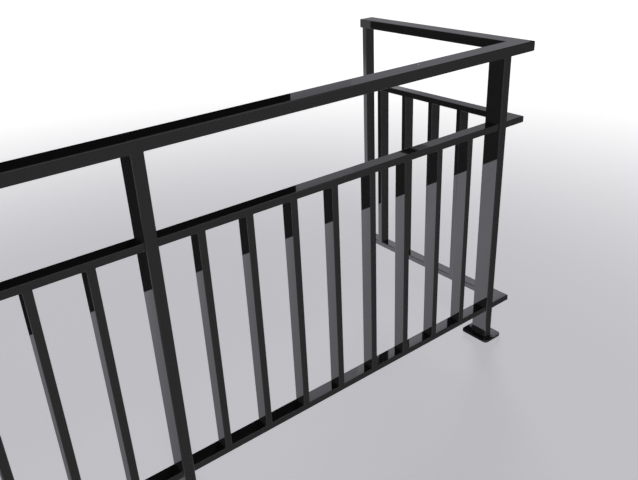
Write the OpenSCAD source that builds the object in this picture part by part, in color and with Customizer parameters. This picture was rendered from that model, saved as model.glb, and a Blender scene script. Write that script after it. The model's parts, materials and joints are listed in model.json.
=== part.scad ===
// Balcony balustrade in black painted steel box section.
// A front run of two bays stands on base plates and turns back to the wall at both ends.
// X runs along the front, Y runs back towards the wall and Z is up.
// The origin is the centre of the middle base plate's underside.

/* [Overall] */
// Height of the handrail's top above the floor
overall_h = 1000; // [900:10:1200]
// Distance from one post's centre to the next
post_pitch = 1170; // [900:10:1500]
// Distance from a corner post's centre to the handrail's outer corner
corner_reach = 120; // [95:5:250]
// Depth from the handrail's front face back to the wall
return_depth = 720; // [500:10:1200]

/* [Handrail] */
// Width of the handrail, seen from above
handrail_w = 60; // [50:1:80]
// Height of the handrail's section
handrail_h = 30; // [20:1:40]

/* [Posts] */
// Width of a post along its run
post_w = 30; // [25:1:50]
// Depth of a post across its run
post_d = 60; // [50:1:80]
// Wall thickness of the handrail and the posts
heavy_wall = 2; // [1.5:0.5:4]
// Outside corner radius of the handrail and the posts
heavy_r = 3; // [2:0.5:5]

/* [Rails] */
// Depth of the mid rails and the bottom rails across their run
rail_d = 40; // [30:1:50]
// Thickness of the mid rails and the bottom rails
rail_t = 20; // [15:1:30]
// Height of the mid rail's top above the floor
mid_rail_top = 770; // [500:10:850]
// Clear height under the bottom rail
bottom_gap = 100; // [60:5:140]

/* [Balusters] */
// Thickness of a baluster along its run
baluster_t = 20; // [12:1:30]
// Depth of a baluster across its run
baluster_d = 40; // [25:1:50]
// Balusters in one bay of the front run
bay_balusters = 8; // [6:1:10]
// Wall thickness of the rails, the balusters and the wall stiles
light_wall = 1.5; // [1:0.5:3]
// Outside corner radius of the rails, the balusters and the wall stiles
light_r = 2; // [1.5:0.5:4]

/* [Wall stiles] */
// Thickness of a wall stile along its return
stile_t = 20; // [15:1:40]
// Width of a wall stile across its return
stile_w = 40; // [30:1:50]
// Distance from each end of a wall stile to its nearest bolt
stile_bolt_inset = 110; // [60:5:200]

/* [Base plates] */
// Width of a base plate's rim, from the post's face to the plate's edge
plate_rim = 25; // [22:1:45]
// Thickness of a base plate
plate_t = 8; // [6:1:15]
// Corner radius of a base plate
plate_r = 12; // [4:1:20]

/* [Fixings] */
// Diameter of the anchor holes and the wall bolt holes
bolt_hole_d = 9; // [6:0.5:12]
// Diameter of the countersink in a base plate's top face
countersink_d = 17; // [14:0.5:20]
// Thickness of the plates that close the open tube ends
cap_t = 2; // [1.5:0.5:4]

/* [Hidden] */

paint = "#1c1c1e";

// Segments of a full circle, for section corners and for bolt holes
corner_steps = 32;
hole_steps = 48;
// Cutters reach this far past the faces that they open
over = 1;

// The two ends of the front run, and its middle, in steps of the post pitch
left = -1;
middle = 0;
right = 1;

// Levels of the rails, all above the floor
handrail_z = overall_h - handrail_h / 2;
handrail_underside = overall_h - handrail_h;
mid_rail_z = mid_rail_top - rail_t / 2;
mid_rail_underside = mid_rail_top - rail_t;
bottom_rail_z = bottom_gap + rail_t / 2;
bottom_rail_top = bottom_gap + rail_t;

// The front run's centre line is Y = 0, and each return's is X = return_x
baluster_pitch = post_pitch / (bay_balusters + 1);
outer_x = post_pitch + corner_reach;
return_x = outer_x - handrail_w / 2;
wall_y = return_depth - handrail_w / 2;
stile_y = wall_y - stile_t / 2;

// A return keeps the front's pitch, and its balusters are centred between corner and stile
return_balusters = floor(stile_y / baluster_pitch);
return_first_y = (stile_y - (return_balusters - 1) * baluster_pitch) / 2;

// Anchors sit halfway across the base plate's rim, in front of the post and behind it
anchor_y = post_d / 2 + plate_rim / 2;
countersink_depth = (countersink_d - bolt_hole_d) / 2;

// A rectangle with round corners
module round_rect(w, h, r) {
    square([w - 2 * r, h], center = true);
    square([w, h - 2 * r], center = true);
    for (sx = [-1, 1], sy = [-1, 1])
        translate([sx * (w / 2 - r), sy * (h / 2 - r)])
            circle(r = r, $fn = corner_steps);
}

// A box section, whose wall keeps its thickness round the corners
module box_section(w, h, wall, r) {
    inner_r = max(r - wall, wall / 4);
    difference() {
        round_rect(w, h, r);
        round_rect(w - 2 * wall, h - 2 * wall, inner_r);
    }
}

// Box section tubes that start at the origin and run along X, Y or Z
module tube_x(length, y_size, z_size, wall, r)
    rotate([90, 0, 90])
        linear_extrude(height = length)
            box_section(y_size, z_size, wall, r);

module tube_y(length, x_size, z_size, wall, r)
    rotate([-90, 0, 0])
        linear_extrude(height = length)
            box_section(x_size, z_size, wall, r);

module tube_z(length, x_size, y_size, wall, r)
    linear_extrude(height = length)
        box_section(x_size, y_size, wall, r);

// Puts what is modelled at the right-hand end at either end
module at_end(side)
    mirror([side == left ? 1 : 0, 0, 0])
        children();

// Cutters for the mitre at the right-hand corner, where both runs' centre lines cross.
// One takes what lies past the mitre off the front run, the other off the return.
module mitre_cutter(outline, z, section_h)
    translate([return_x, 0, z - section_h / 2 - over])
        linear_extrude(height = section_h + 2 * over)
            polygon(outline);

module mitre_off_front(section_w, z, section_h)
    mitre_cutter([[-section_w, section_w], [section_w, -section_w], [section_w, section_w]],
        z, section_h);

module mitre_off_return(section_w, z, section_h)
    mitre_cutter([[-section_w, section_w], [-section_w, -section_w], [section_w, -section_w]],
        z, section_h);

// Handrail of the front run, mitred at both corners
module front_handrail()
    color(paint)
        difference() {
            translate([-outer_x, 0, handrail_z])
                tube_x(2 * outer_x, handrail_w, handrail_h, heavy_wall, heavy_r);
            at_end(left)
                mitre_off_front(handrail_w, handrail_z, handrail_h);
            at_end(right)
                mitre_off_front(handrail_w, handrail_z, handrail_h);
        }

// Handrail of a return, from the mitre to the cap at the wall
module return_handrail(side)
    color(paint)
        at_end(side)
            difference() {
                translate([return_x, -handrail_w / 2, handrail_z])
                    tube_y(return_depth - cap_t, handrail_w, handrail_h, heavy_wall, heavy_r);
                mitre_off_return(handrail_w, handrail_z, handrail_h);
            }

// Plate that closes a return's handrail against the wall
module handrail_cap(side)
    color(paint)
        at_end(side)
            translate([return_x, wall_y, handrail_z])
                rotate([90, 0, 0])
                    linear_extrude(height = cap_t)
                        round_rect(handrail_w, handrail_h, heavy_r);

// Post that stands on its base plate and carries the handrail
module post(place)
    color(paint)
        translate([place * post_pitch, 0, plate_t])
            tube_z(handrail_underside - plate_t, post_w, post_d, heavy_wall, heavy_r);

// Base plate with a countersunk anchor hole in front of the post and one behind it
module base_plate(place)
    color(paint)
        translate([place * post_pitch, 0, 0])
            difference() {
                linear_extrude(height = plate_t)
                    round_rect(post_w + 2 * plate_rim, post_d + 2 * plate_rim, plate_r);
                for (y = [-anchor_y, anchor_y])
                    translate([0, y, 0])
                        anchor_hole();
            }

module anchor_hole() {
    translate([0, 0, -over])
        cylinder(d = bolt_hole_d, h = plate_t + 2 * over, $fn = hole_steps);
    translate([0, 0, plate_t - countersink_depth])
        cylinder(d1 = bolt_hole_d, d2 = countersink_d + 2 * over,
            h = countersink_depth + over, $fn = hole_steps);
}

// Moves what is modelled for the bay right of the middle post to either bay
module in_bay(side)
    translate([side == left ? -post_pitch : 0, 0, 0])
        children();

// Mid rail or bottom rail of one bay, welded between two posts
module bay_rail(side, z)
    color(paint)
        in_bay(side)
            translate([post_w / 2, 0, z])
                tube_x(post_pitch - post_w, rail_d, rail_t, light_wall, light_r);

// Balusters of one bay, welded between its bottom rail and its mid rail.
// Their left faces are set out from the left face of the post at the bay's left.
module bay_baluster_row(side)
    color(paint)
        in_bay(side)
            for (i = [1 : bay_balusters])
                translate([i * baluster_pitch + (baluster_t - post_w) / 2, 0, bottom_rail_top])
                    tube_z(mid_rail_underside - bottom_rail_top,
                        baluster_t, baluster_d, light_wall, light_r);

// Short rail from the corner post to the mitre at the corner
module corner_rail(side, z)
    color(paint)
        at_end(side)
            difference() {
                translate([post_pitch + post_w / 2, 0, z])
                    tube_x(return_x - post_pitch - post_w / 2 + rail_d / 2,
                        rail_d, rail_t, light_wall, light_r);
                mitre_off_front(rail_d, z, rail_t);
            }

// Mid rail or bottom rail of a return, from the mitre to the wall stile
module return_rail(side, z)
    color(paint)
        at_end(side)
            difference() {
                translate([return_x, -rail_d / 2, z])
                    tube_y(wall_y - stile_t + rail_d / 2, rail_d, rail_t, light_wall, light_r);
                mitre_off_return(rail_d, z, rail_t);
            }

// Balusters of a return, turned square to those of the front run
module return_baluster_row(side)
    color(paint)
        at_end(side)
            for (i = [0 : return_balusters - 1])
                translate([return_x, return_first_y + i * baluster_pitch, bottom_rail_top])
                    tube_z(mid_rail_underside - bottom_rail_top,
                        baluster_d, baluster_t, light_wall, light_r);

// Upright that is bolted to the wall and carries the return's rails
module wall_stile(side)
    color(paint)
        at_end(side)
            difference() {
                translate([return_x, stile_y, bottom_gap + cap_t])
                    tube_z(handrail_underside - bottom_gap - cap_t,
                        stile_w, stile_t, light_wall, light_r);
                for (z = [bottom_gap + stile_bolt_inset, handrail_underside - stile_bolt_inset])
                    translate([return_x, wall_y + over, z])
                        rotate([90, 0, 0])
                            cylinder(d = bolt_hole_d, h = stile_t + 2 * over, $fn = hole_steps);
            }

// Plate that closes the foot of a wall stile
module stile_cap(side)
    color(paint)
        at_end(side)
            translate([return_x, stile_y, bottom_gap])
                linear_extrude(height = cap_t)
                    round_rect(stile_w, stile_t, light_r);

front_handrail();
return_handrail(left);  // left_handrail
return_handrail(right);  // right_handrail
handrail_cap(left);  // left_handrail_cap
handrail_cap(right);  // right_handrail_cap

post(left);  // left_corner_post
post(middle);  // middle_post
post(right);  // right_corner_post

base_plate(left);  // left_corner_base_plate
base_plate(middle);  // middle_base_plate
base_plate(right);  // right_corner_base_plate

bay_rail(left, mid_rail_z);  // left_bay_mid_rail
bay_rail(right, mid_rail_z);  // right_bay_mid_rail
bay_rail(left, bottom_rail_z);  // left_bay_bottom_rail
bay_rail(right, bottom_rail_z);  // right_bay_bottom_rail
bay_baluster_row(left);  // left_bay_balusters
bay_baluster_row(right);  // right_bay_balusters

corner_rail(left, mid_rail_z);  // left_corner_mid_rail
corner_rail(right, mid_rail_z);  // right_corner_mid_rail
corner_rail(left, bottom_rail_z);  // left_corner_bottom_rail
corner_rail(right, bottom_rail_z);  // right_corner_bottom_rail

return_rail(left, mid_rail_z);  // left_return_mid_rail
return_rail(right, mid_rail_z);  // right_return_mid_rail
return_rail(left, bottom_rail_z);  // left_return_bottom_rail
return_rail(right, bottom_rail_z);  // right_return_bottom_rail

return_baluster_row(left);  // left_return_balusters
return_baluster_row(right);  // right_return_balusters

wall_stile(left);  // left_wall_stile
wall_stile(right);  // right_wall_stile
stile_cap(left);  // left_stile_cap
stile_cap(right);  // right_stile_cap
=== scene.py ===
# %% [markdown]
# # A black steel balustrade
#
# The construction comes in as a fixed frame: handrail, posts, rails, balusters, stiles and plates,
# each at its real size and place, in metres. X runs along the front, Y runs to the rear, Z is up.
# This lesson adds what the frame leaves out: the camera, the light, the gloss paint, the weld
# beads that hold the tubes together and the screws that hold the balustrade down.

# %% Load the frame
import json
import math
import bpy
from mathutils import Matrix, Vector

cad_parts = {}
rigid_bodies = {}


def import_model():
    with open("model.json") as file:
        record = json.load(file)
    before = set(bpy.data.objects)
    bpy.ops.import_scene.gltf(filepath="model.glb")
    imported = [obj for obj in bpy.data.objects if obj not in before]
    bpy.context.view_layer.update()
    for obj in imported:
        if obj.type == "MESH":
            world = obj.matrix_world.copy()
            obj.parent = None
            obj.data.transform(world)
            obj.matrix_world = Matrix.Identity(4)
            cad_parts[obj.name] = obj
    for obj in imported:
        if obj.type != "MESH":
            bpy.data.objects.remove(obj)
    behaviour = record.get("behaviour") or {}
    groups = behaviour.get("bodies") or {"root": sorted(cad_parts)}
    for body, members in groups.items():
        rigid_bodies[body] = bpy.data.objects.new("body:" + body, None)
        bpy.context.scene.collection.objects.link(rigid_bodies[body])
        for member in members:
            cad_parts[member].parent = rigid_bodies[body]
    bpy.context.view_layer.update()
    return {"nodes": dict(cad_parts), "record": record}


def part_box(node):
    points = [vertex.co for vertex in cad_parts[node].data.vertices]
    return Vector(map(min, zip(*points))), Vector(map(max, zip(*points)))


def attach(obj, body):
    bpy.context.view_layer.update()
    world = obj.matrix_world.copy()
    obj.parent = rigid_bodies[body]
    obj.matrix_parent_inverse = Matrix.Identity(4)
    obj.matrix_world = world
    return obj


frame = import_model()
print("pieces in the frame:", len(frame["nodes"]))

# %% Measure the uprights
MM = 0.001

post_low, post_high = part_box("middle_post")
post_w = post_high.x - post_low.x
post_d = post_high.y - post_low.y
plate_low, plate_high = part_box("middle_base_plate")
plate_w = plate_high.x - plate_low.x
plate_d = plate_high.y - plate_low.y
plate_t = plate_high.z
corner_low, corner_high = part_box("right_corner_post")
corner_x = (corner_low.x + corner_high.x) / 2
post_places = [-corner_x, 0.0, corner_x]

stile_low, stile_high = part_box("right_wall_stile")
stile_w = stile_high.x - stile_low.x
stile_front_y = stile_low.y
return_x = (stile_low.x + stile_high.x) / 2
rear_y = stile_high.y
print("posts at", [round(x, 3) for x in post_places], "and returns at", round(return_x, 3))

# %% [markdown]
# The rails are measured in the same way. Where one ends and an upright begins, a weld will lie.

# %% Measure the rails
rail_low, rail_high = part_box("right_bay_mid_rail")
rail_d = rail_high.y - rail_low.y
rail_t = rail_high.z - rail_low.z
mid_underside = rail_low.z
mid_top = rail_high.z
bottom_low, bottom_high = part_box("right_bay_bottom_rail")
bottom_underside = bottom_low.z
bottom_top = bottom_high.z

handrail_low, handrail_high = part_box("front_handrail")
handrail_w = handrail_high.y - handrail_low.y
handrail_underside = handrail_low.z
handrail_top = handrail_high.z
print("undersides at", [round(z, 3) for z in (bottom_underside, mid_underside, handrail_underside)])

# %% [markdown]
# ## The camera
#
# The picture is taken from in front of the left bay, a little above the handrail, looking along
# the front towards the right-hand corner. A camera is three turns and a place. It first rolls
# about its own axis, then tips down from level, then swings round to its heading. Writing the
# turns as named angles keeps each one easy to change by itself.

# %% Set up the camera
FOCAL_PIXELS = 704.5
IMAGE_WIDTH = 638
SENSOR_WIDTH = 36.0
HEADING = 0.6487
TILT = -0.4597
ROLL = -0.0473
EYE = Vector((-0.5328, -1.3225, 1.4271))

camera_data = bpy.data.cameras.new("camera")
camera_data.sensor_fit = "HORIZONTAL"
camera_data.sensor_width = SENSOR_WIDTH
camera_data.lens = FOCAL_PIXELS / IMAGE_WIDTH * SENSOR_WIDTH
camera = bpy.data.objects.new("camera", camera_data)
bpy.context.scene.collection.objects.link(camera)
swing = Matrix.Rotation(-HEADING, 4, "Z") @ Matrix.Rotation(math.pi / 2 + TILT, 4, "X")
camera.matrix_world = Matrix.Translation(EYE) @ swing @ Matrix.Rotation(ROLL, 4, "Z")
bpy.context.scene.camera = camera
print("lens:", round(camera_data.lens, 2), "mm")

# %% [markdown]
# ## Helpers for modelling by hand
#
# Blender's operators work on whatever is selected, and the frame arrives selected. So every
# piece starts by clearing the selection, and vertices are then selected by their place.

# %% Selecting
def clear_selection():
    """Leaves nothing selected, so that the next operator touches only the new piece."""
    for thing in bpy.context.view_layer.objects:
        thing.select_set(False)
    bpy.context.view_layer.objects.active = None


def edit_mode():
    bpy.ops.object.mode_set(mode="EDIT")


def object_mode():
    bpy.ops.object.mode_set(mode="OBJECT")


def select_vertices(piece, wanted):
    """Selects the vertices whose place passes the test, and returns to edit mode."""
    object_mode()
    for edge in piece.data.edges:
        edge.select = False
    for face in piece.data.polygons:
        face.select = False
    for vertex in piece.data.vertices:
        vertex.select = wanted(vertex.co)
    edit_mode()


clear_selection()
print("selected:", len(bpy.context.selected_objects))

# %% [markdown]
# A finished piece keeps its place in its mesh, with its object at the origin, and rides on the
# balustrade's one body. What repeats is modelled once, copied with a mesh of its own to each
# place, and the copies of one family are joined into one named piece.

# %% Copying, joining and finishing
SMOOTH_UP_TO = math.radians(40)


def copy_to(template, place):
    """A copy of a modelled piece, with its own mesh, put in its place."""
    twin = template.copy()
    twin.data = template.data.copy()
    twin.data.transform(place)
    bpy.context.scene.collection.objects.link(twin)
    return twin


def join_as(name, pieces):
    """Joins copies into one named piece."""
    clear_selection()
    for piece in pieces:
        piece.select_set(True)
    bpy.context.view_layer.objects.active = pieces[0]
    bpy.ops.object.join()
    joined = bpy.context.view_layer.objects.active
    joined.name = name
    joined.data.name = name
    clear_selection()
    return joined


def finish_piece(piece, paint):
    """Gives a piece its paint and its body, and smooth shading up to sharp edges."""
    piece.data.materials.clear()
    piece.data.materials.append(paint)
    clear_selection()
    piece.select_set(True)
    bpy.context.view_layer.objects.active = piece
    bpy.ops.object.shade_smooth_by_angle(angle=SMOOTH_UP_TO)
    clear_selection()
    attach(piece, "root")
    print(f"{piece.name}: {len(piece.data.polygons)} faces")


print("edges stay sharp above", round(math.degrees(SMOOTH_UP_TO)), "degrees")

# %% [markdown]
# ## Shared paint effects
#
# Gloss paint on steel is almost a black mirror. What tells the eye that it is paint is small:
# a faint orange-peel ripple, a thin film of dust where it settles on upward faces, and a
# slightly thinner, lighter coat along the round corners. Each effect is a node group with
# named inputs, so that every paint below can use it with its own amounts. Three helpers keep
# the groups short to write.

# %% Helpers for node groups
def new_group(name, inputs, outputs):
    """An empty shader group with its sockets. Inputs are (name, default), outputs names."""
    group = bpy.data.node_groups.new(name, "ShaderNodeTree")
    for label, default in inputs:
        socket = group.interface.new_socket(label, in_out="INPUT", socket_type="NodeSocketFloat")
        socket.default_value = default
    for label in outputs:
        group.interface.new_socket(label, in_out="OUTPUT", socket_type="NodeSocketFloat")
    return group, group.nodes.new("NodeGroupInput"), group.nodes.new("NodeGroupOutput")


def feed(tree, socket, value):
    """Feeds a socket from another socket, or sets it to a plain value."""
    if isinstance(value, bpy.types.NodeSocket):
        tree.links.new(value, socket)
    else:
        socket.default_value = value


def math_node(tree, operation, first, second=None, clamp=False):
    """A Math node fed by sockets or by plain numbers."""
    node = tree.nodes.new("ShaderNodeMath")
    node.operation = operation
    node.use_clamp = clamp
    feed(tree, node.inputs[0], first)
    if second is not None:
        feed(tree, node.inputs[1], second)
    return node.outputs[0]


print("node groups so far:", len(bpy.data.node_groups))

# %% [markdown]
# Two more helpers tell a shader where it is. Noise reads Object coordinates, which are metres in
# the frame, so a pattern has one true scale on every piece. The parts of the normal say which way
# the surface faces.

# %% Helpers for noise and for direction
def noise_node(tree, scale, detail, roughness=0.5):
    """Noise on Object coordinates."""
    place = tree.nodes.new("ShaderNodeTexCoord")
    noise = tree.nodes.new("ShaderNodeTexNoise")
    noise.inputs["Detail"].default_value = detail
    noise.inputs["Roughness"].default_value = roughness
    tree.links.new(place.outputs["Object"], noise.inputs["Vector"])
    feed(tree, noise.inputs["Scale"], scale)
    return noise.outputs["Fac"]


def normal_parts(tree):
    """The X, Y and Z parts of the surface's normal."""
    surface = tree.nodes.new("ShaderNodeNewGeometry")
    parts = tree.nodes.new("ShaderNodeSeparateXYZ")
    tree.links.new(surface.outputs["Normal"], parts.inputs[0])
    return parts.outputs


print("noise of scale 100 changes about every", round(1.0 / 100 / MM), "mm")

# %% [markdown]
# The corners of a section can be found without any map. All tubes run along an axis, so a flat
# face's normal has one part of length 1. On a round corner the largest part drops below 1, down
# to 0.71 at its middle. The mask is 1 where it drops, and noise breaks it up.

# %% The round-corner mask
CORNER_GAIN = 6.0


def make_corner_group():
    """1 on a section's round corners and 0 on its flat faces."""
    group, given, result = new_group(
        "corner_mask", [("Breakup Scale", 60.0), ("Breakup", 0.5)], ["Mask"])
    sizes = [math_node(group, "ABSOLUTE", part) for part in normal_parts(group)]
    largest = math_node(group, "MAXIMUM", math_node(group, "MAXIMUM", sizes[0], sizes[1]), sizes[2])
    bend = math_node(group, "SUBTRACT", 1.0, largest)
    corner = math_node(group, "MULTIPLY", bend, CORNER_GAIN, clamp=True)
    patches = noise_node(group, scale=given.outputs["Breakup Scale"], detail=4.0)
    broken = math_node(group, "MULTIPLY", patches, given.outputs["Breakup"])
    kept = math_node(group, "SUBTRACT", 1.0, broken, clamp=True)
    group.links.new(math_node(group, "MULTIPLY", corner, kept), result.inputs["Mask"])
    return group


corner_group = make_corner_group()
print(corner_group.name, "has", len(corner_group.nodes), "nodes")

# %% [markdown]
# Dust lies only on faces that look up, so its mask starts from the normal's Z part. Two noises
# multiply into it: large soft patches, and specks about a millimetre across.

# %% The dust mask
SPECK_SCALE = 900.0


def make_dust_group():
    """Dust that has settled on upward faces, in soft patches."""
    group, given, result = new_group(
        "settled_dust", [("Amount", 0.3), ("Patch Scale", 9.0)], ["Mask"])
    upward = math_node(group, "MAXIMUM", normal_parts(group)[2], 0.0)
    patches = noise_node(group, scale=given.outputs["Patch Scale"], detail=6.0, roughness=0.65)
    specks = noise_node(group, scale=SPECK_SCALE, detail=2.0)
    grain = math_node(group, "MULTIPLY", patches, specks)
    settled = math_node(group, "MULTIPLY", grain, upward)
    mask = math_node(group, "MULTIPLY", settled, given.outputs["Amount"], clamp=True)
    group.links.new(mask, result.inputs["Mask"])
    return group


dust_group = make_dust_group()
print(dust_group.name, "has", len(dust_group.nodes), "nodes")
print("a speck is about", round(1.0 / SPECK_SCALE / MM, 1), "mm across")

# %% [markdown]
# A sprayed film is never quite flat. It has a fine orange peel over a slow waviness, and its
# gloss varies in clouds and in short streaks. One group puts out both, the height and the haze.

# %% The paint film
WAVE_SCALE = 14.0
CLOUD_SCALE = 5.0
STREAK_SCALE = 70.0


def make_film_group():
    """The paint film's height, an orange-peel ripple over a slow waviness, and its haze."""
    group, given, result = new_group(
        "paint_film", [("Peel Scale", 420.0), ("Peel", 0.6)], ["Height", "Haze"])
    peel = noise_node(group, scale=given.outputs["Peel Scale"], detail=1.5)
    waves = noise_node(group, scale=WAVE_SCALE, detail=2.0)
    fine = math_node(group, "MULTIPLY", peel, given.outputs["Peel"])
    group.links.new(math_node(group, "ADD", fine, waves), result.inputs["Height"])
    cloud = noise_node(group, scale=CLOUD_SCALE, detail=5.0, roughness=0.6)
    streak = noise_node(group, scale=STREAK_SCALE, detail=3.0)
    both = math_node(group, "ADD", cloud, streak)
    group.links.new(math_node(group, "MULTIPLY", both, 0.5), result.inputs["Haze"])
    return group


film_group = make_film_group()
print(film_group.name, "has", len(film_group.nodes), "nodes")

# %% [markdown]
# ## The paints
#
# One black paint covers everything, but not everything looks the same: hands polish the
# handrail, dust gathers on the rails, and shoes scuff the base plates. So each family of
# pieces has its own material, made by one function from the shared effects. Two helpers come
# first: one mixes colours, and the other puts an effect into a material.

# %% Helpers for materials
def mix_colour(tree, amount, first, second):
    """A Mix node between two colours, either of them a socket or a plain colour.

    The node has sockets of the same name for each kind of value, so the colours' ones are
    picked by number: inputs 6 and 7, and output 2."""
    node = tree.nodes.new("ShaderNodeMix")
    node.data_type = "RGBA"
    tree.links.new(amount, node.inputs["Factor"])
    feed(tree, node.inputs[6], first)
    feed(tree, node.inputs[7], second)
    return node.outputs[2]


def place_group(tree, group, label, amount):
    """A shared effect, placed in a material with its own amount."""
    node = tree.nodes.new("ShaderNodeGroup")
    node.node_tree = group
    node.inputs[label].default_value = amount
    return node


print("shared effects:", [group.name for group in (film_group, corner_group, dust_group)])

# %% [markdown]
# The black is a little lighter where the coat is thin, and greyer where dust lies. Haze and dust
# also make it rougher, which blurs what it mirrors. The index of refraction sets how much light
# it mirrors at all: plain lacquer has about 1.5, and this paint is more of a mirror than that.

# %% A recipe for gloss paint
BLACK = (0.0252, 0.0250, 0.0254, 1.0)
THIN_COAT = (0.046, 0.045, 0.046, 1.0)
DUST = (0.16, 0.155, 0.15, 1.0)
PAINT_IOR = 2.05
CORNER_BREAKUP = 0.8
DUST_ROUGHNESS = 1.2
PEEL_STRENGTH = 0.012
PEEL_HEIGHT = 0.2 * MM


def make_paint(name, gloss_roughness, haze, dust, wear, peel):
    """Black gloss paint with its own haze, dust, corner wear and orange peel."""
    paint = bpy.data.materials.new(name)
    paint.use_nodes = True
    tree = paint.node_tree
    shader = tree.nodes["Principled BSDF"]
    film = place_group(tree, film_group, "Peel", peel)
    corner = place_group(tree, corner_group, "Breakup", CORNER_BREAKUP)
    settled = place_group(tree, dust_group, "Amount", dust)

    worn = math_node(tree, "MULTIPLY", corner.outputs["Mask"], wear)
    coat = mix_colour(tree, worn, BLACK, THIN_COAT)
    colour = mix_colour(tree, settled.outputs["Mask"], coat, DUST)
    tree.links.new(colour, shader.inputs["Base Color"])

    hazy = math_node(tree, "MULTIPLY", film.outputs["Haze"], haze)
    dull = math_node(tree, "ADD", hazy, gloss_roughness)
    dusty = math_node(tree, "MULTIPLY", settled.outputs["Mask"], DUST_ROUGHNESS)
    tree.links.new(math_node(tree, "ADD", dull, dusty, clamp=True), shader.inputs["Roughness"])

    bump = tree.nodes.new("ShaderNodeBump")
    bump.inputs["Strength"].default_value = PEEL_STRENGTH
    bump.inputs["Distance"].default_value = PEEL_HEIGHT
    tree.links.new(film.outputs["Height"], bump.inputs["Height"])
    tree.links.new(bump.outputs["Normal"], shader.inputs["Normal"])
    shader.inputs["IOR"].default_value = PAINT_IOR
    return paint


print("share of light mirrored head on:", round(((PAINT_IOR - 1) / (PAINT_IOR + 1)) ** 2, 3))

# %% [markdown]
# The numbers are small, because a little haze or dust already dulls a black mirror. The handrail
# has the least of both and the plates have the most wear. The weld beads are duller than the
# tubes, and the screws are the dullest.

# %% Mix the paints
handrail_paint = make_paint(
    "handrail_paint", gloss_roughness=0.005, haze=0.020, dust=0.04, wear=0.5, peel=0.5)
post_paint = make_paint(
    "post_paint", gloss_roughness=0.005, haze=0.022, dust=0.06, wear=0.4, peel=0.7)
rail_paint = make_paint(
    "rail_paint", gloss_roughness=0.005, haze=0.022, dust=0.06, wear=0.5, peel=0.6)
baluster_paint = make_paint(
    "baluster_paint", gloss_roughness=0.005, haze=0.022, dust=0.06, wear=0.4, peel=0.7)
plate_paint = make_paint(
    "plate_paint", gloss_roughness=0.010, haze=0.030, dust=0.05, wear=0.8, peel=0.8)
weld_paint = make_paint(
    "weld_paint", gloss_roughness=0.06, haze=0.06, dust=0.10, wear=0.0, peel=0.8)
screw_finish = make_paint(
    "screw_finish", gloss_roughness=0.10, haze=0.10, dust=0.10, wear=0.0, peel=0.3)
print("paints:", [m.name for m in bpy.data.materials if m.name.endswith(("paint", "finish"))])

# %% [markdown]
# A piece of the frame takes the paint of its family. Its name says which that is, and the first
# word on the list that the name holds is the one that counts.

# %% Paint the frame
PAINT_OF = (
    ("base_plate", plate_paint),
    ("handrail", handrail_paint),
    ("baluster", baluster_paint),
    ("post", post_paint),
    ("rail", rail_paint),
    ("stile", post_paint),
)


def paint_for(node_name):
    """The paint of the first family whose word is in the piece's name."""
    return next(paint for word, paint in PAINT_OF if word in node_name)


for node_name, node in frame["nodes"].items():
    node.data.materials.clear()
    node.data.materials.append(paint_for(node_name))
print("painted:", len(frame["nodes"]), "pieces of the frame")

# %% [markdown]
# ## Weld beads
#
# On the real balustrade every tube is welded where it meets the next. Where two faces are flush,
# the weld is ground level and disappears under the paint. Where a tube meets a face squarely, a
# small bead stays in the corner. A bead can be modelled the way it is laid: a small round is
# pushed along the seam in short steps, and each step swells and shrinks a little, which leaves
# the ripples.

# %% Lay one bead
BEAD_SIDES = 12
RIPPLE = 1.6 * MM
RIPPLE_SWELL = 1.10
FEWEST_STEPS = 4
START_SHARE = 0.45


def lay_bead(length, leg):
    """A weld bead of that length along X. Its even number of steps makes both ends alike.

    Its middle runs along the seam itself, so most of it is buried in what it joins."""
    steps = max(FEWEST_STEPS, round(length / RIPPLE / 2) * 2)
    step = length / steps
    clear_selection()
    bpy.ops.mesh.primitive_circle_add(
        vertices=BEAD_SIDES, radius=leg * START_SHARE, fill_type="NGON",
        location=(-length / 2, 0.0, 0.0), rotation=(0.0, math.pi / 2, 0.0))
    bead = bpy.context.object
    bpy.ops.object.transform_apply(location=True, rotation=True, scale=True)
    edit_mode()
    bpy.ops.mesh.select_all(action="SELECT")
    size = START_SHARE
    for i in range(1, steps + 1):
        crest = 1.0 if i % 2 else 1.0 / RIPPLE_SWELL
        wanted = START_SHARE if i == steps else crest
        bpy.ops.mesh.extrude_region_move(TRANSFORM_OT_translate={"value": (step, 0.0, 0.0)})
        bpy.ops.transform.resize(
            value=(1.0, wanted / size, wanted / size),
            center_override=(-length / 2 + i * step, 0.0, 0.0))
        size = wanted
    bpy.ops.mesh.select_all(action="SELECT")
    bpy.ops.mesh.normals_make_consistent(inside=False)
    object_mode()
    clear_selection()
    return bead


print("a ripple every", round(RIPPLE / MM, 1), "mm")

# %% [markdown]
# A seam is given by its two ends. One bead is made for each length and leg, which is how far it
# comes up each face, and a copy of it is turned and moved to every seam of that length.

# %% Copy a bead to a seam
bead_patterns = {}


def bead_between(first, second, leg):
    """A copy of the bead of the right length, laid from one point to the other."""
    run = Vector(second) - Vector(first)
    key = (round(run.length / MM, 1), round(leg / MM, 1))
    if key not in bead_patterns:
        bead_patterns[key] = lay_bead(run.length, leg)
    turn = run.to_track_quat("X", "Z").to_matrix().to_4x4()
    middle = (Vector(first) + Vector(second)) / 2
    return copy_to(bead_patterns[key], Matrix.Translation(middle) @ turn)


print("beads made so far:", len(bead_patterns))

# %% [markdown]
# ## Ground welds
#
# A tube's long edges are round, so where an upright meets a rail of its own depth, a small
# hollow is left above its flush faces. The welder fills it and grinds it level. The fill has
# exactly the upright's own outline, so it is modelled as a slice of that outline: a plane with
# its corners bevelled round, pushed up by the height of the rail's round edge.

# %% Cut one slice of a tube's outline
ROUND_STEPS = 8
HEAVY_RADIUS = 3.0 * MM
LIGHT_RADIUS = 2.0 * MM


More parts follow.
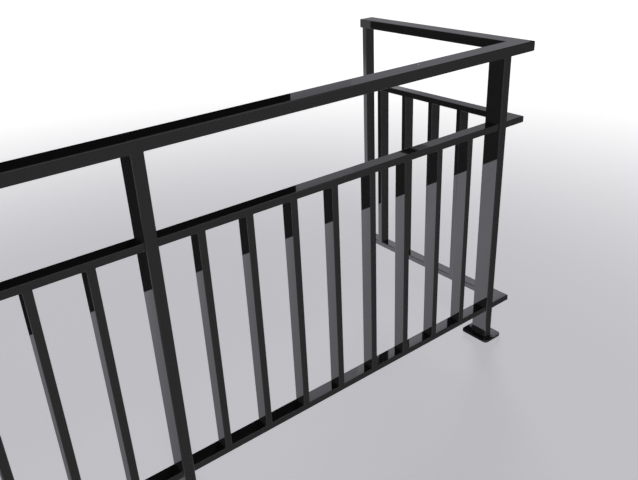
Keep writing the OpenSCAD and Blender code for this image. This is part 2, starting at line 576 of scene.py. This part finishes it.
def outline_slice(name, width, depth, radius):
    """A slice of a round-cornered outline, as tall as its radius, standing on the origin."""
    clear_selection()
    bpy.ops.mesh.primitive_plane_add(size=1.0, location=(0.0, 0.0, 0.0))
    piece = bpy.context.object
    piece.name = name
    edit_mode()
    bpy.ops.mesh.select_all(action="SELECT")
    bpy.ops.transform.resize(value=(width, depth, 1.0))
    bpy.ops.mesh.bevel(offset=radius, segments=ROUND_STEPS, affect="VERTICES")
    bpy.ops.mesh.select_all(action="SELECT")
    bpy.ops.mesh.extrude_region_move(TRANSFORM_OT_translate={"value": (0.0, 0.0, radius)})
    bpy.ops.mesh.select_all(action="SELECT")
    bpy.ops.mesh.normals_make_consistent(inside=False)
    object_mode()
    clear_selection()
    return piece


post_slice = outline_slice("post_slice", post_w, post_d, HEAVY_RADIUS)
front_slice = outline_slice("front_slice", rail_t, rail_d, LIGHT_RADIUS)
return_slice = outline_slice("return_slice", rail_d, rail_t, LIGHT_RADIUS)
print("slices:", [s.name for s in (post_slice, front_slice, return_slice)])

# %% [markdown]
# ## Welds of the posts
#
# A post stands square on its base plate, so its foot has a bead on all four sides. Its head
# meets the handrail, which is just as deep: front and back are ground flush, and the two long
# sides keep their beads.

# %% Weld the posts
FOOT_LEG = 3.5 * MM
HEAD_LEG = 2.5 * MM
RAIL_LEG = 2.0 * MM
FOOT_STOPS_SHORT = 0.6 * HEAVY_RADIUS


def foot_ring(x):
    """Four beads round a post's foot, each running on a little way into the round corners."""
    half_w = post_w / 2
    half_d = post_d / 2
    reach_w = half_w - FOOT_STOPS_SHORT
    reach_d = half_d - FOOT_STOPS_SHORT
    along = [
        bead_between((x - reach_w, y, plate_t), (x + reach_w, y, plate_t), FOOT_LEG)
        for y in (-half_d, half_d)
    ]
    across = [
        bead_between((edge, -reach_d, plate_t), (edge, reach_d, plate_t), FOOT_LEG)
        for edge in (x - half_w, x + half_w)
    ]
    return along + across


def head_pair(x):
    """Two beads under the handrail, along the faces of a post that stand back from it."""
    reach = post_d / 2 - HEAVY_RADIUS
    return [
        bead_between((edge, -reach, handrail_underside), (edge, reach, handrail_underside), HEAD_LEG)
        for edge in (x - post_w / 2, x + post_w / 2)
    ]


foot_beads = []
head_welds = []
for x in post_places:
    foot_beads += foot_ring(x)
    head_welds += head_pair(x)
    head_welds.append(copy_to(post_slice, Matrix.Translation((x, 0.0, handrail_underside))))
finish_piece(join_as("post_foot_welds", foot_beads), weld_paint)
finish_piece(join_as("post_head_welds", head_welds), post_paint)

# %% [markdown]
# ## Welds of the balusters
#
# The balusters are as deep as the rails, so each end is ground flush at front and back and has
# a bead on its two long sides. Their places are measured in the frame: a baluster panel is one
# piece there, and its balusters are found as groups of vertices along the panel's run.

# %% Find the balusters
X_AXIS = 0
Y_AXIS = 1
Z_AXIS = 2


def balusters_along(node_name, axis):
    """The centres of a panel's balusters along its run, from the frame's own vertices."""
    places = sorted({round(v.co[axis], 5) for v in frame["nodes"][node_name].data.vertices})
    starts = [places[0]]
    for place in places:
        if place > starts[-1] + rail_t + MM:
            starts.append(place)
    return [start + rail_t / 2 for start in starts]


# Each panel's name, the axis of its run, and where its line lies on the other axis
PANELS = (
    ("left_bay", X_AXIS, 0.0),
    ("right_bay", X_AXIS, 0.0),
    ("left_return", Y_AXIS, -return_x),
    ("right_return", Y_AXIS, return_x),
)
baluster_places = {name: balusters_along(name + "_balusters", axis) for name, axis, line in PANELS}
for name, places in baluster_places.items():
    print(name, len(places), "from", round(places[0], 4), "to", round(places[-1], 4))

# %% [markdown]
# A front panel runs along X and a return along Y. So each weld is placed by how far it lies along
# its panel and across it, and one helper turns that into X, Y and Z.

# %% Weld the balusters
# Where beads lie, and where a fill starts, at a baluster's foot and at its head
BALUSTER_ENDS = ((bottom_top, bottom_top - LIGHT_RADIUS), (mid_underside, mid_underside))


def on_panel(axis, run, across, level):
    """A point given along and across a panel, in the frame's X, Y and Z."""
    return (run, across, level) if axis == X_AXIS else (across, run, level)


def panel_welds(name, axis, line):
    """The beads and ground fills at both ends of every baluster of a panel."""
    pattern = front_slice if axis == X_AXIS else return_slice
    reach = rail_d / 2 - LIGHT_RADIUS
    welds = []
    for place in baluster_places[name]:
        for level, fill_level in BALUSTER_ENDS:
            for edge in (place - rail_t / 2, place + rail_t / 2):
                welds.append(bead_between(
                    on_panel(axis, edge, line - reach, level),
                    on_panel(axis, edge, line + reach, level), RAIL_LEG))
            centre = on_panel(axis, place, line, fill_level)
            welds.append(copy_to(pattern, Matrix.Translation(centre)))
    finish_piece(join_as(name + "_baluster_welds", welds), baluster_paint)


for name, axis, line in PANELS:
    panel_welds(name, axis, line)

# %% [markdown]
# ## Welds of the rails
#
# A rail is narrower than the post that it runs into, so its end is welded all round. The same
# ring of four beads serves both levels and both sides of a post.

# %% Weld the rails
def rail_end_ring(face_x, underside):
    """Four beads round a rail's end on the side of a post."""
    reach_y = rail_d / 2 - LIGHT_RADIUS
    reach_z = rail_t / 2 - LIGHT_RADIUS
    z = underside + rail_t / 2
    beads = []
    for side in (-1, 1):
        y = side * rail_d / 2
        level = z + side * rail_t / 2
        beads.append(bead_between((face_x, -reach_y, level), (face_x, reach_y, level), RAIL_LEG))
        beads.append(bead_between((face_x, y, z - reach_z), (face_x, y, z + reach_z), RAIL_LEG))
    return beads


rail_beads = []
for x in post_places:
    for face_x in (x - post_w / 2, x + post_w / 2):
        for underside in (mid_underside, bottom_underside):
            rail_beads += rail_end_ring(face_x, underside)
finish_piece(join_as("rail_end_welds", rail_beads), weld_paint)

# %% [markdown]
# At the corners, the handrail and both rails are mitred. The outside of a mitre is ground flush,
# and only its inner corner keeps an upright bead.

# %% Weld the mitres
MITRED = (
    (handrail_w, handrail_underside, handrail_top, HEAVY_RADIUS),
    (rail_d, mid_underside, mid_top, LIGHT_RADIUS),
    (rail_d, bottom_underside, bottom_top, LIGHT_RADIUS),
)
corner_beads = []
for side in (-1, 1):
    for width, low, high, radius in MITRED:
        x = side * (return_x - width / 2)
        y = width / 2
        corner_beads.append(bead_between((x, y, low + radius), (x, y, high - radius), RAIL_LEG))
finish_piece(join_as("inner_corner_welds", corner_beads), weld_paint)

# %% [markdown]
# ## Welds of the stiles
#
# Each return ends on a flat upright, the stile, and the handrail lies on its top. The handrail's
# underside and the two rails are welded to its front, and a short bead runs along each of its
# sides, right under the handrail.

# %% Weld the stiles
stile_beads = []
for side in (-1, 1):
    x = side * return_x
    reach = stile_w / 2 - LIGHT_RADIUS
    for level in (handrail_underside, mid_top, mid_underside, bottom_top):
        stile_beads.append(bead_between(
            (x - reach, stile_front_y, level), (x + reach, stile_front_y, level), RAIL_LEG))
    for edge_x in (x - stile_w / 2, x + stile_w / 2):
        stile_beads.append(bead_between(
            (edge_x, stile_front_y + LIGHT_RADIUS, handrail_underside),
            (edge_x, rear_y - LIGHT_RADIUS, handrail_underside), RAIL_LEG))
finish_piece(join_as("stile_welds", stile_beads), weld_paint)

for pattern in [*bead_patterns.values(), post_slice, front_slice, return_slice]:
    bpy.data.objects.remove(pattern)
print("bead lengths and legs made, in mm:", sorted(bead_patterns))

# %% [markdown]
# ## Screws
#
# The base plates are held by countersunk socket screws that sink into the plate, and the stiles
# by button-head screws. A button head's crown is a bevel of its rim. A bevel works on edges, so
# the rim's vertices are found by their place first, and then the edges that run between them.

# %% Crown a rim
CROWN_STEPS = 5
TOUCHING = 0.01 * MM


def select_edges_among(piece, corners):
    """Selects the edges that run between the given vertices, and returns to edit mode."""
    select_vertices(piece, lambda co: False)
    bpy.ops.mesh.select_mode(type="EDGE")
    object_mode()
    for edge in piece.data.edges:
        edge.select = all(corner in corners for corner in edge.vertices)
    edit_mode()


def crown_rim(head, head_radius, crown):
    """Rounds a head's upper rim with a bevel."""
    on_rim = {
        v.index for v in head.data.vertices
        if v.co.z > -TOUCHING and v.co.xy.length > head_radius - TOUCHING
    }
    select_edges_among(head, on_rim)
    bpy.ops.mesh.bevel(offset=crown, segments=CROWN_STEPS, affect="EDGES")
    object_mode()


print("a crown has", CROWN_STEPS, "steps")

# %% [markdown]
# Both heads are a round outline joined to a six-sided recess. Two circles of different counts are
# bridged, the inner one is pushed in and filled, and the outer one is pushed down to make the
# head.

# %% A recipe for screw heads
HEAD_STEPS = 40
HEX_SIDES = 6


def screw_head(name, head_radius, foot_radius, head_height, key_radius, key_depth, crown):
    """A socket screw's head with its top at the origin. The key radius reaches a hex corner."""
    clear_selection()
    bpy.ops.mesh.primitive_circle_add(vertices=HEAD_STEPS, radius=head_radius, location=(0, 0, 0))
    head = bpy.context.object
    head.name = name
    edit_mode()
    bpy.ops.mesh.select_all(action="DESELECT")
    bpy.ops.mesh.primitive_circle_add(vertices=HEX_SIDES, radius=key_radius, location=(0, 0, 0))
    bpy.ops.mesh.select_all(action="SELECT")
    bpy.ops.mesh.bridge_edge_loops()
    select_vertices(head, lambda co: co.xy.length < key_radius + TOUCHING)
    bpy.ops.mesh.extrude_region_move(TRANSFORM_OT_translate={"value": (0.0, 0.0, -key_depth)})
    bpy.ops.mesh.edge_face_add()
    select_vertices(head, lambda co: co.xy.length > head_radius - TOUCHING)
    bpy.ops.mesh.extrude_region_move(TRANSFORM_OT_translate={"value": (0.0, 0.0, -head_height)})
    share = foot_radius / head_radius
    bpy.ops.transform.resize(value=(share, share, 1.0), center_override=(0.0, 0.0, -head_height))
    bpy.ops.mesh.edge_face_add()
    bpy.ops.mesh.select_all(action="SELECT")
    bpy.ops.mesh.normals_make_consistent(inside=False)
    object_mode()
    if crown:
        crown_rim(head, head_radius, crown)
    clear_selection()
    return head


print("a head's outline has", HEAD_STEPS, "sides and its recess", HEX_SIDES)

# %% [markdown]
# Each head is modelled once. The sunk one narrows to its foot at 45 degrees, as its countersink
# does, and the button one has upright sides under its crown.

# %% Model the two heads
BUTTON_HEIGHT = 3.4 * MM
sunk_head = screw_head(
    "sunk_head", head_radius=8.2 * MM, foot_radius=4.4 * MM, head_height=3.8 * MM,
    key_radius=2.9 * MM, key_depth=2.4 * MM, crown=0.0)
button_head = screw_head(
    "button_head", head_radius=7.0 * MM, foot_radius=7.0 * MM, head_height=BUTTON_HEIGHT,
    key_radius=2.3 * MM, key_depth=1.6 * MM, crown=2.3 * MM)
print("screw heads:", len(sunk_head.data.polygons), len(button_head.data.polygons), "faces")

# %% [markdown]
# The record says where the holes are, so the screws are placed by its mounts. A plate's screw
# ends a little below the plate's face, and a stile's screw stands on the stile's front.

# %% Put the screws in
SUNK_BELOW = 0.2 * MM
mounts = {mount["name"]: mount for mount in frame["record"]["mounts"]}
anchor_y = mounts["middle_anchors"]["dims"]["spacing_y_mm"] * MM / 2
anchor_screws = [
    copy_to(sunk_head, Matrix.Translation((x, y, plate_t - SUNK_BELOW)))
    for x in post_places for y in (-anchor_y, anchor_y)
]
finish_piece(join_as("anchor_screws", anchor_screws), screw_finish)

stile_bolts = mounts["right_wall_bolts"]
bolts_apart = stile_bolts["dims"]["spacing_y_mm"] * MM
bolt_levels = [stile_bolts["pos_m"][2] + side * bolts_apart / 2 for side in (-1, 1)]
facing_front = Matrix.Rotation(math.pi / 2, 4, "X")
stile_screws = [
    copy_to(button_head, Matrix.Translation((x, stile_front_y - BUTTON_HEIGHT, z)) @ facing_front)
    for x in (-return_x, return_x) for z in bolt_levels
]
finish_piece(join_as("wall_screws", stile_screws), screw_finish)
for pattern in (sunk_head, button_head):
    bpy.data.objects.remove(pattern)

# %% [markdown]
# ## The floor
#
# The studio is made of flat sheets, which aren't part of the object. A sheet is a plane that is
# turned and stretched in its place, and its material starts from nothing but an output.

# %% Helpers for the studio
FLAT = (0.0, 0.0, 0.0)


def lay_plane(name, size, place, turn):
    """A flat sheet of the studio, which isn't part of the object."""
    clear_selection()
    bpy.ops.mesh.primitive_plane_add(size=1.0, location=place, rotation=turn)
    sheet = bpy.context.object
    sheet.name = name
    sheet.scale = (size[0], size[1], 1.0)
    bpy.ops.object.transform_apply(location=True, rotation=True, scale=True)
    clear_selection()
    return sheet


def bare_finish(name):
    """A material with nothing in it but an output, and the output's surface socket."""
    finish = bpy.data.materials.new(name)
    finish.use_nodes = True
    finish.node_tree.nodes.clear()
    output = finish.node_tree.nodes.new("ShaderNodeOutputMaterial")
    return finish, output.inputs["Surface"]


print("materials so far:", len(bpy.data.materials))

# %% [markdown]
# The balustrade stands on a plain pale floor. It is matt, so that it takes the shadow, and it
# glows a little to the camera alone. The glow pales to white far away, which hides the horizon.
# Reflections don't see the floor: they get boards of their own in the next step.

# %% Lay the floor
FLOOR_SIZE = 80.0
FLOOR_ALBEDO = (0.85, 0.85, 0.87, 1.0)
GLOW_NEAR = (0.422, 0.419, 0.448, 1.0)
GLOW_FAR = (1.0, 1.0, 1.0, 1.0)
FADE_START = 1.2
FADE_END = 5.0


def make_floor_finish():
    """A matt floor that takes the shadow, plus a tone of its own that pales to white far away."""
    finish, surface = bare_finish("floor_finish")
    tree = finish.node_tree
    place = tree.nodes.new("ShaderNodeTexCoord")
    distance = tree.nodes.new("ShaderNodeVectorMath")
    distance.operation = "LENGTH"
    tree.links.new(place.outputs["Object"], distance.inputs[0])
    fade = tree.nodes.new("ShaderNodeMapRange")
    fade.interpolation_type = "SMOOTHSTEP"
    fade.inputs["From Min"].default_value = FADE_START
    fade.inputs["From Max"].default_value = FADE_END
    tree.links.new(distance.outputs["Value"], fade.inputs["Value"])
    matt = tree.nodes.new("ShaderNodeBsdfDiffuse")
    matt.inputs["Color"].default_value = FLOOR_ALBEDO
    glow = tree.nodes.new("ShaderNodeEmission")
    tree.links.new(mix_colour(tree, fade.outputs["Result"], GLOW_NEAR, GLOW_FAR), glow.inputs["Color"])
    paths = tree.nodes.new("ShaderNodeLightPath")
    tree.links.new(paths.outputs["Is Camera Ray"], glow.inputs["Strength"])
    both = tree.nodes.new("ShaderNodeAddShader")
    tree.links.new(matt.outputs[0], both.inputs[0])
    tree.links.new(glow.outputs[0], both.inputs[1])
    tree.links.new(both.outputs[0], surface)
    return finish


floor = lay_plane("floor", (FLOOR_SIZE, FLOOR_SIZE), (0.0, 0.0, 0.0), FLAT)
floor.data.materials.append(make_floor_finish())
floor.visible_glossy = False
print("floor:", [round(side, 1) for side in floor.dimensions])

# %% [markdown]
# ## The boards
#
# A black mirror shows what is round it, so a studio decides what it may see: a pale board under
# the balustrade and two at its end, which only reflections see, and darkness beyond them. Where
# a board ends, the paint turns from grey to black in one clean line, and that line is what makes
# it look like gloss.
#
# Gloss paint mirrors more at a slant, so an even board would look uneven in it. Each flat face
# mirrors a board along the rays of a fan, and the tone is set ray by ray to even that out.

# %% Tones for the boards
FAN_CENTRE = Vector((EYE.x, -EYE.y, EYE.z))
FAN_CURVE = 0.7
FAN_BRIGHTEST = 0.84


def tone_along(axis, low, low_tone, high, high_tone):
    """A tone that runs from one place and value on an axis to another."""
    def build(tree, parts):
        ramp = tree.nodes.new("ShaderNodeMapRange")
        ramp.inputs["From Min"].default_value = low
        ramp.inputs["From Max"].default_value = high
        ramp.inputs["To Min"].default_value = low_tone
        ramp.inputs["To Max"].default_value = high_tone
        tree.links.new(parts.outputs[axis], ramp.inputs["Value"])
        return ramp.outputs[0]
    return build


def tone_in_a_fan(axis, tone, rise, narrowest):
    """A tone that is even along each ray of a fan, apart from a slow rise along Y.

    The rays meet at FAN_CENTRE. A ray's spread is how far from the centre, along the axis, it
    crosses the front of the balustrade."""
    def build(tree, parts):
        along = parts.outputs[axis]
        y = parts.outputs[Y_AXIS]
        across = math_node(tree, "ABSOLUTE", math_node(tree, "SUBTRACT", along, FAN_CENTRE[axis]))
        scaled = math_node(tree, "MULTIPLY", across, FAN_CENTRE.y)
        spread = math_node(tree, "DIVIDE", scaled, math_node(tree, "SUBTRACT", FAN_CENTRE.y, y))
        curve = math_node(tree, "POWER", math_node(tree, "MAXIMUM", spread, narrowest), FAN_CURVE)
        rising = math_node(tree, "ADD", math_node(tree, "MULTIPLY", y, rise), 1.0)
        glow = math_node(tree, "MULTIPLY", math_node(tree, "MULTIPLY", curve, rising), tone)
        return math_node(tree, "MINIMUM", glow, FAN_BRIGHTEST)
    return build


print("the fan's rays meet at", [round(c, 2) for c in FAN_CENTRE])

# %% [markdown]
# A board is a plane with a glow of its own. It lights nothing and casts no shadow, because every
# kind of ray except the mirrored one passes through it.

# %% A recipe for boards
BOARD_COLOUR = (0.93, 0.915, 1.0, 1.0)


def make_board(name, size, place, turn, tone):
    """A board that only reflections can see. Its tone is a number, or varies over the board."""
    board = lay_plane(name, size, place, turn)
    finish, surface = bare_finish(name + "_finish")
    tree = finish.node_tree
    glow = tree.nodes.new("ShaderNodeEmission")
    glow.inputs["Color"].default_value = BOARD_COLOUR
    if callable(tone):
        at = tree.nodes.new("ShaderNodeTexCoord")
        parts = tree.nodes.new("ShaderNodeSeparateXYZ")
        tree.links.new(at.outputs["Object"], parts.inputs[0])
        tree.links.new(tone(tree, parts), glow.inputs["Strength"])
    else:
        glow.inputs["Strength"].default_value = tone
    tree.links.new(glow.outputs[0], surface)
    board.data.materials.append(finish)
    board.visible_camera = False
    board.visible_diffuse = False
    board.visible_shadow = False
    board.visible_transmission = False
    print(f"{name}: {size[0]:.2f} x {size[1]:.2f} m")


print("board colour:", BOARD_COLOUR)

# %% [markdown]
# One board lies under the balustrade, just below the floor, which reflections don't see. Two
# stand upright at its right-hand end: the side board runs to the rear, and the end board goes on
# to the right. Their edges fall where the grey in the paint should end.

# %% Stand the boards near the balustrade
BOARD_FRONT_Y = -0.10
BOARD_REAR_Y = 1.09
BOARD_LEFT_X = -5.0
BOARD_END_X = 1.18
BOARD_FAR_X = 2.27
BOARD_TOP_Z = 4.0
BOARD_GAP = 1.0 * MM
FACING_X = (0.0, math.pi / 2, 0.0)
FACING_Y = (math.pi / 2, 0.0, 0.0)

make_board(
    "floor_board", (BOARD_END_X - BOARD_LEFT_X, BOARD_REAR_Y - BOARD_FRONT_Y),
    ((BOARD_END_X + BOARD_LEFT_X) / 2, (BOARD_FRONT_Y + BOARD_REAR_Y) / 2, -BOARD_GAP),
    FLAT, tone_in_a_fan(X_AXIS, tone=0.49, rise=0.47, narrowest=0.0))
make_board(
    "side_board", (BOARD_TOP_Z, BOARD_REAR_Y - rear_y),
    (BOARD_END_X, (BOARD_REAR_Y + rear_y) / 2, BOARD_TOP_Z / 2),
    FACING_X, tone_in_a_fan(Z_AXIS, tone=0.515, rise=0.0, narrowest=0.4))
make_board(
    "end_board", (BOARD_FAR_X - BOARD_END_X, BOARD_TOP_Z),
    ((BOARD_FAR_X + BOARD_END_X) / 2, rear_y + BOARD_GAP, BOARD_TOP_Z / 2),
    FACING_Y, tone_along(Z_AXIS, low=0.803, low_tone=0.80, high=0.88, high_tone=0.34))

# %% [markdown]
# Two more boards stand far off, for the tops of the rails when they are seen from behind or from
# the right. They grow paler upwards. The left one ends short of where a plate's top would mirror
# it by way of a post. Three small dark ones lie round the base plates: painted contact shade,
# which a plate's edge mirrors where it touches the floor.

# %% Stand the far boards and lay the dark ones
STUDIO_REACH = 5.0
LEFT_BOARD_WIDTH = 8.0
STUDIO_SILL_Z = 1.5
SHADE_MARGIN = 10 * MM
SHADE_GAP = 0.5 * MM
SHADE_TONE = 0.02

studio_middle_z = STUDIO_SILL_Z + BOARD_TOP_Z / 2
studio_tone = tone_along(
    Z_AXIS, low=STUDIO_SILL_Z, low_tone=0.10, high=STUDIO_SILL_Z + BOARD_TOP_Z, high_tone=0.45)
make_board(
    "front_board", (2 * STUDIO_REACH, BOARD_TOP_Z), (0.0, -STUDIO_REACH, studio_middle_z),
    FACING_Y, studio_tone)
make_board(
    "left_board", (BOARD_TOP_Z, LEFT_BOARD_WIDTH), (-STUDIO_REACH, 0.0, studio_middle_z),
    FACING_X, studio_tone)
# Painted contact shade round each base plate, which only reflections see
for side, x in zip(("left", "middle", "right"), post_places):
    make_board(
        side + "_plate_shade", (plate_w + 2 * SHADE_MARGIN, plate_d + 2 * SHADE_MARGIN),
        (x, 0.0, -SHADE_GAP), FLAT, SHADE_TONE)

# %% [markdown]
# ## The light
#
# The light itself is plain. A wide, low sun stands in front and to the left, and another behind
# and to the right, so that no side is lost. The front panel shades the returns from the first
# one, so a third lamp shines from the same side without shadows. It comes from a little below
# level, so it leaves the floor and its shadows alone.

# %% Hang the suns
SUN_SPREAD = math.radians(26)


def soft_sun(name, shines_from, strength, casts_shadow=True):
    """A wide sun, placed by the direction that it shines from."""
    data = bpy.data.lights.new(name, "SUN")
    data.angle = SUN_SPREAD
    data.energy = strength
    data.use_shadow = casts_shadow
    lamp = bpy.data.objects.new(name, data)
    bpy.context.scene.collection.objects.link(lamp)
    lamp.rotation_euler = Vector(shines_from).to_track_quat("Z", "Y").to_euler()
    lamp.visible_glossy = False
    print(f"{name}: strength {strength}, casts a shadow: {casts_shadow}")


soft_sun("key_sun", shines_from=(-0.34, -0.94, 0.01), strength=1.8)
soft_sun("even_sun", shines_from=(-0.34, -0.94, -0.25), strength=2.3, casts_shadow=False)
soft_sun("fill_sun", shines_from=(0.72, 0.69, 0.01), strength=4.0)

# %% [markdown]
# The world is dim all round, white to the camera, and almost black to reflections. The Light
# Path node tells the kinds of ray apart, and a Mix Shader picks the background for each.

# %% The surrounding light
DIFFUSE_LIGHT = 0.025
MIRRORED_LIGHT = 0.004
CAMERA_WHITE = 1.0


def background(tree, strength):
    """A white background of one strength."""
    node = tree.nodes.new("ShaderNodeBackground")
    node.inputs["Color"].default_value = (1.0, 1.0, 1.0, 1.0)
    node.inputs["Strength"].default_value = strength
    return node.outputs[0]


def choose(tree, which_ray, otherwise, then):
    """Mixes two backgrounds by the kind of ray that looks at them."""
    node = tree.nodes.new("ShaderNodeMixShader")
    tree.links.new(which_ray, node.inputs["Fac"])
    tree.links.new(otherwise, node.inputs[1])
    tree.links.new(then, node.inputs[2])
    return node.outputs[0]


world = bpy.data.worlds.new("studio")
world.use_nodes = True
bpy.context.scene.world = world
tree = world.node_tree
tree.nodes.clear()
paths = tree.nodes.new("ShaderNodeLightPath")
for_gloss = choose(
    tree, paths.outputs["Is Glossy Ray"], otherwise=background(tree, DIFFUSE_LIGHT),
    then=background(tree, MIRRORED_LIGHT))
for_camera = choose(
    tree, paths.outputs["Is Camera Ray"], otherwise=for_gloss, then=background(tree, CAMERA_WHITE))
surround = tree.nodes.new("ShaderNodeOutputWorld")
tree.links.new(for_camera, surround.inputs["Surface"])
bpy.context.scene.view_settings.view_transform = "Standard"
